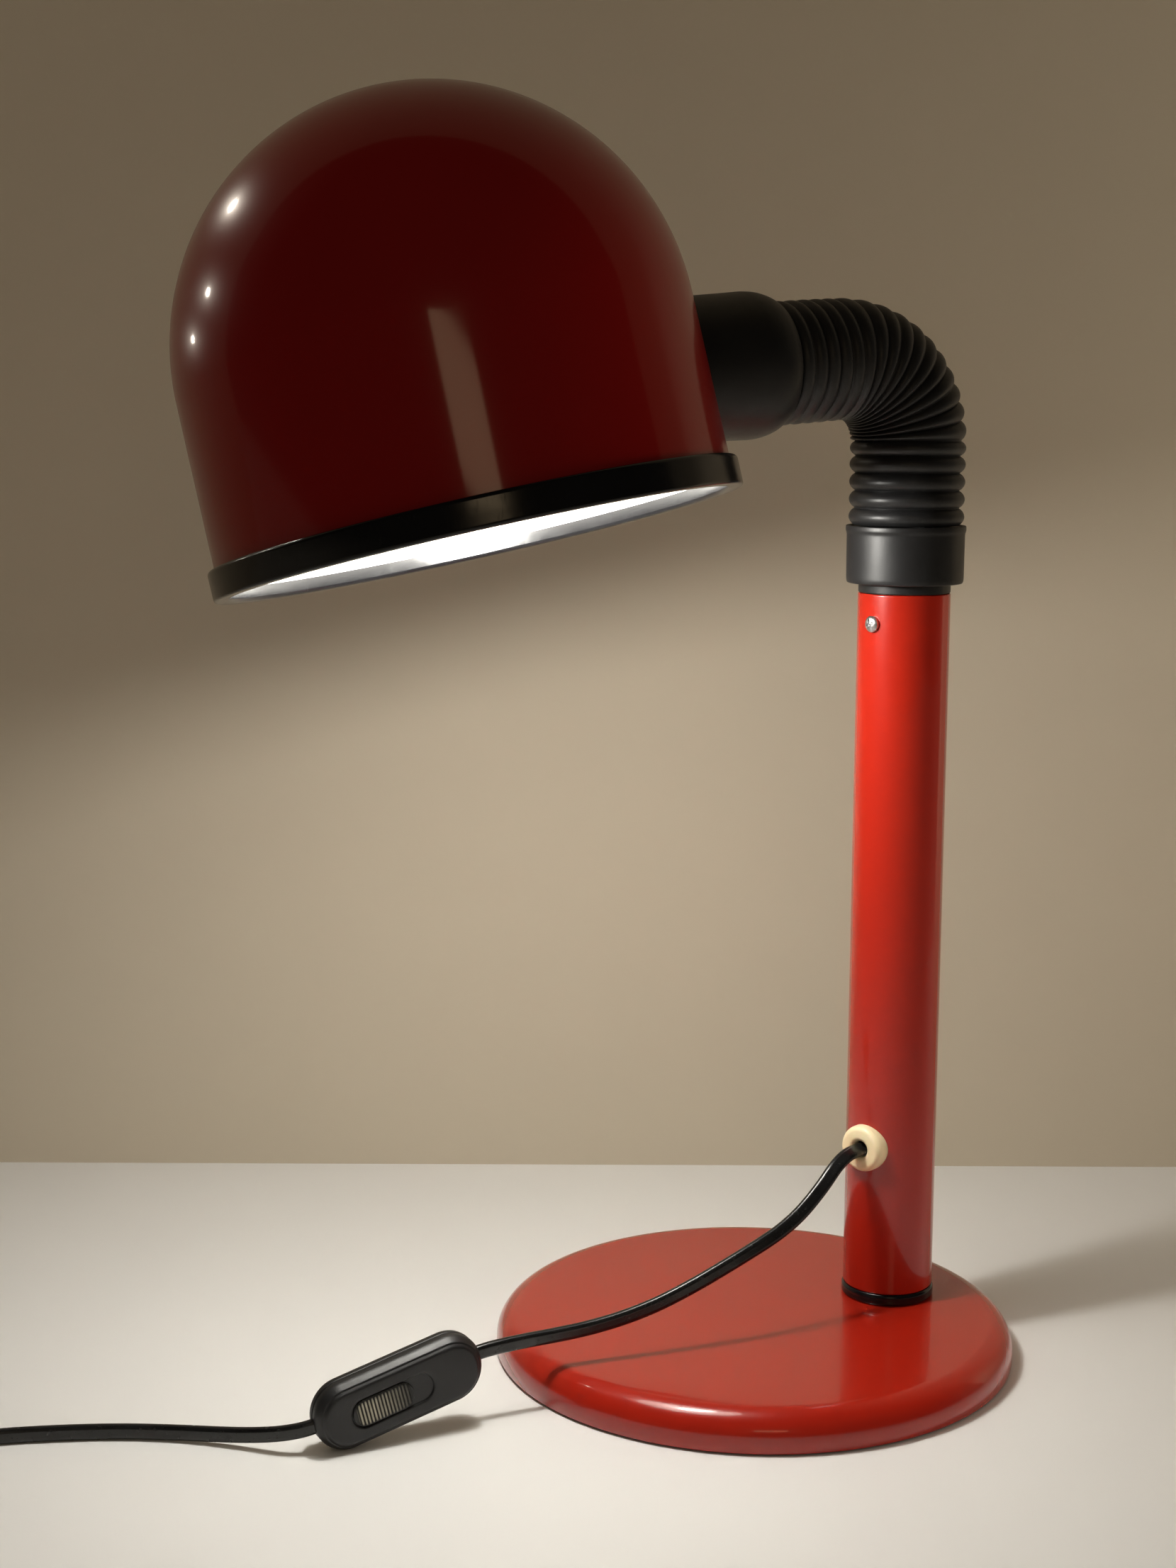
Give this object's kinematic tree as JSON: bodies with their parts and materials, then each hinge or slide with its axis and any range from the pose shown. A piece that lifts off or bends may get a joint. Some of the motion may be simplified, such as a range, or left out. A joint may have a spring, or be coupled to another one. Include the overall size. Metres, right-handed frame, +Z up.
{
  "type": "desk lamp",
  "caption": "Desk lamp with a domed shade on a short bending neck, a straight tube post, a weighted round base and a flat mains cord with an inline slide switch.",
  "frame": {"origin": "centre of the round base's underside, on the table", "axes": "+Z up; -X from the post towards the shade, the way the lamp points; +Y to the lamp's right"},
  "size_m": [0.5291, 0.3194, 0.5359],
  "materials": {
    "red_paint": "high gloss paint on steel",
    "shade_paint": "high gloss paint on spun aluminium, white inside",
    "black_gloss": "gloss",
    "black_satin": "satin",
    "bellows": "soft satin",
    "felt": "felt-like pad",
    "iron": "rough cast",
    "steel": "zinc plated",
    "brass": "plain",
    "ivory": "satin",
    "porcelain": "unglazed",
    "bulb": "frosted",
    "cable": "smooth flex"
  },
  "bodies": {
    "stand": {"base_cover": "red_paint", "base_weight": "iron", "base_pad": "felt", "post_foot_ring": "black_gloss", "post_foot_plate": "steel", "base_bolt": "steel", "base_bolt_washer": "steel", "base_bolt_nut": "steel", "post_tube": "red_paint", "cord_bush": "ivory", "neck_plug": "black_satin", "neck_collar": "black_satin", "post_screw": "steel", "neck_link_0": "bellows", "inner_lead": "cable", "switch_front": "black_satin", "switch_back": "black_satin", "switch_screw_a": "steel", "switch_screw_b": "steel", "cord_lead": "cable", "cord_tail": "cable", "cord_end": "cable", "cord_coil": "cable", "plug_body": "black_satin", "plug_pin_a": "brass", "plug_pin_b": "brass"},
    "slider": {"switch_slider": "black_satin"},
    "neck_1": {"neck_link_1": "bellows"},
    "neck_2": {"neck_link_2": "bellows"},
    "neck_3": {"neck_link_3": "bellows"},
    "neck_4": {"neck_link_4": "bellows"},
    "neck_5": {"neck_link_5": "bellows"},
    "neck_6": {"neck_link_6": "bellows"},
    "head": {"shade": "shade_paint", "rim_ring": "black_gloss", "cuff": "black_satin", "holder_cap": "black_satin", "holder_insert": "porcelain", "holder_skirt": "black_satin", "holder_nut": "black_satin", "holder_contact": "brass", "bulb_cap": "steel", "bulb_glass": "bulb", "head_lead": "cable"}
  },
  "joints": [
    {"name": "neck_lean", "type": "hinge", "parent": "stand", "child": "neck_1", "pos_m": [0.0655, -0.0085, 0.3761], "axis": [1, 0, 0], "range_deg": [-15, 15]},
    {"name": "neck_bend_1", "type": "hinge", "parent": "neck_1", "child": "neck_2", "pos_m": [0.06478, -0.0085, 0.40697], "axis": [0, -1, 0], "range_deg": [-25, 2]},
    {"name": "neck_bend_2", "type": "hinge", "parent": "neck_2", "child": "neck_3", "pos_m": [0.05922, -0.0085, 0.41974], "axis": [0, -1, 0], "range_deg": [-25, 2]},
    {"name": "neck_bend_3", "type": "hinge", "parent": "neck_3", "child": "neck_4", "pos_m": [0.04902, -0.0085, 0.42924], "axis": [0, -1, 0], "range_deg": [-25, 2]},
    {"name": "neck_bend_4", "type": "hinge", "parent": "neck_4", "child": "neck_5", "pos_m": [0.03588, -0.0085, 0.43387], "axis": [0, -1, 0], "range_deg": [-25, 2]},
    {"name": "neck_turn", "type": "hinge", "parent": "neck_5", "child": "neck_6", "pos_m": [0.01391, -0.0085, 0.433], "axis": [-0.0718, 0, 0.9974], "range_deg": [-15, 15]},
    {"name": "head_roll", "type": "hinge", "parent": "neck_6", "child": "head", "pos_m": [-0.00262, -0.0085, 0.43181], "axis": [-0.9974, 0, -0.0718], "range_deg": [-40, 40]},
    {"name": "switch_slide", "type": "slide", "parent": "stand", "child": "slider", "axis": [0.9703, 0, 0.2419], "range_m": [0, 0.008]}
  ]
}
